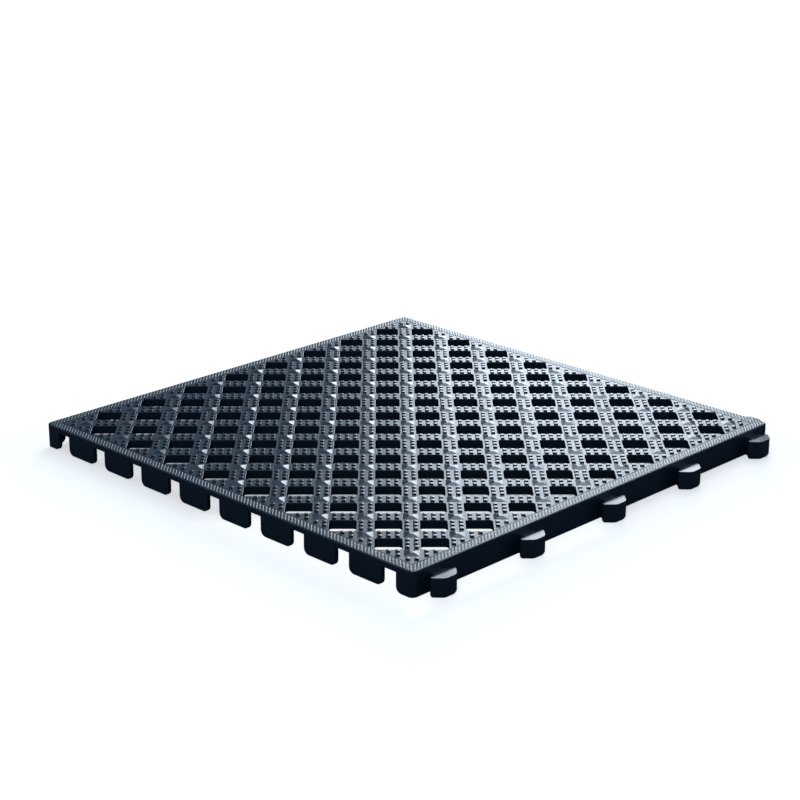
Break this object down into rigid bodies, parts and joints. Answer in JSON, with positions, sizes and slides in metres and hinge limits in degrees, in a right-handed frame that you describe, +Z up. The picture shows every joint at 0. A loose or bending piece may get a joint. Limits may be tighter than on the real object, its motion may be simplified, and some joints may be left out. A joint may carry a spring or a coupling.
{
  "type": "interlocking floor tile",
  "caption": "Square open-grid floor tile moulded in one piece, with lugs along two sides and matching sockets along the other two.",
  "frame": {"origin": "On the floor, at the bottom of the middle foot, which is the centre of the square module without its lugs.", "axes": "+Z up from the floor to the walking side; the lugs stand out along +X and +Y, and the sockets open along -X and -Y."},
  "size_m": [0.4734, 0.4734, 0.0234],
  "materials": {
    "vinyl": "satin black-navy flexible vinyl, moulded"
  },
  "bodies": {
    "root": {"floor_tile": "vinyl"}
  },
  "joints": []
}
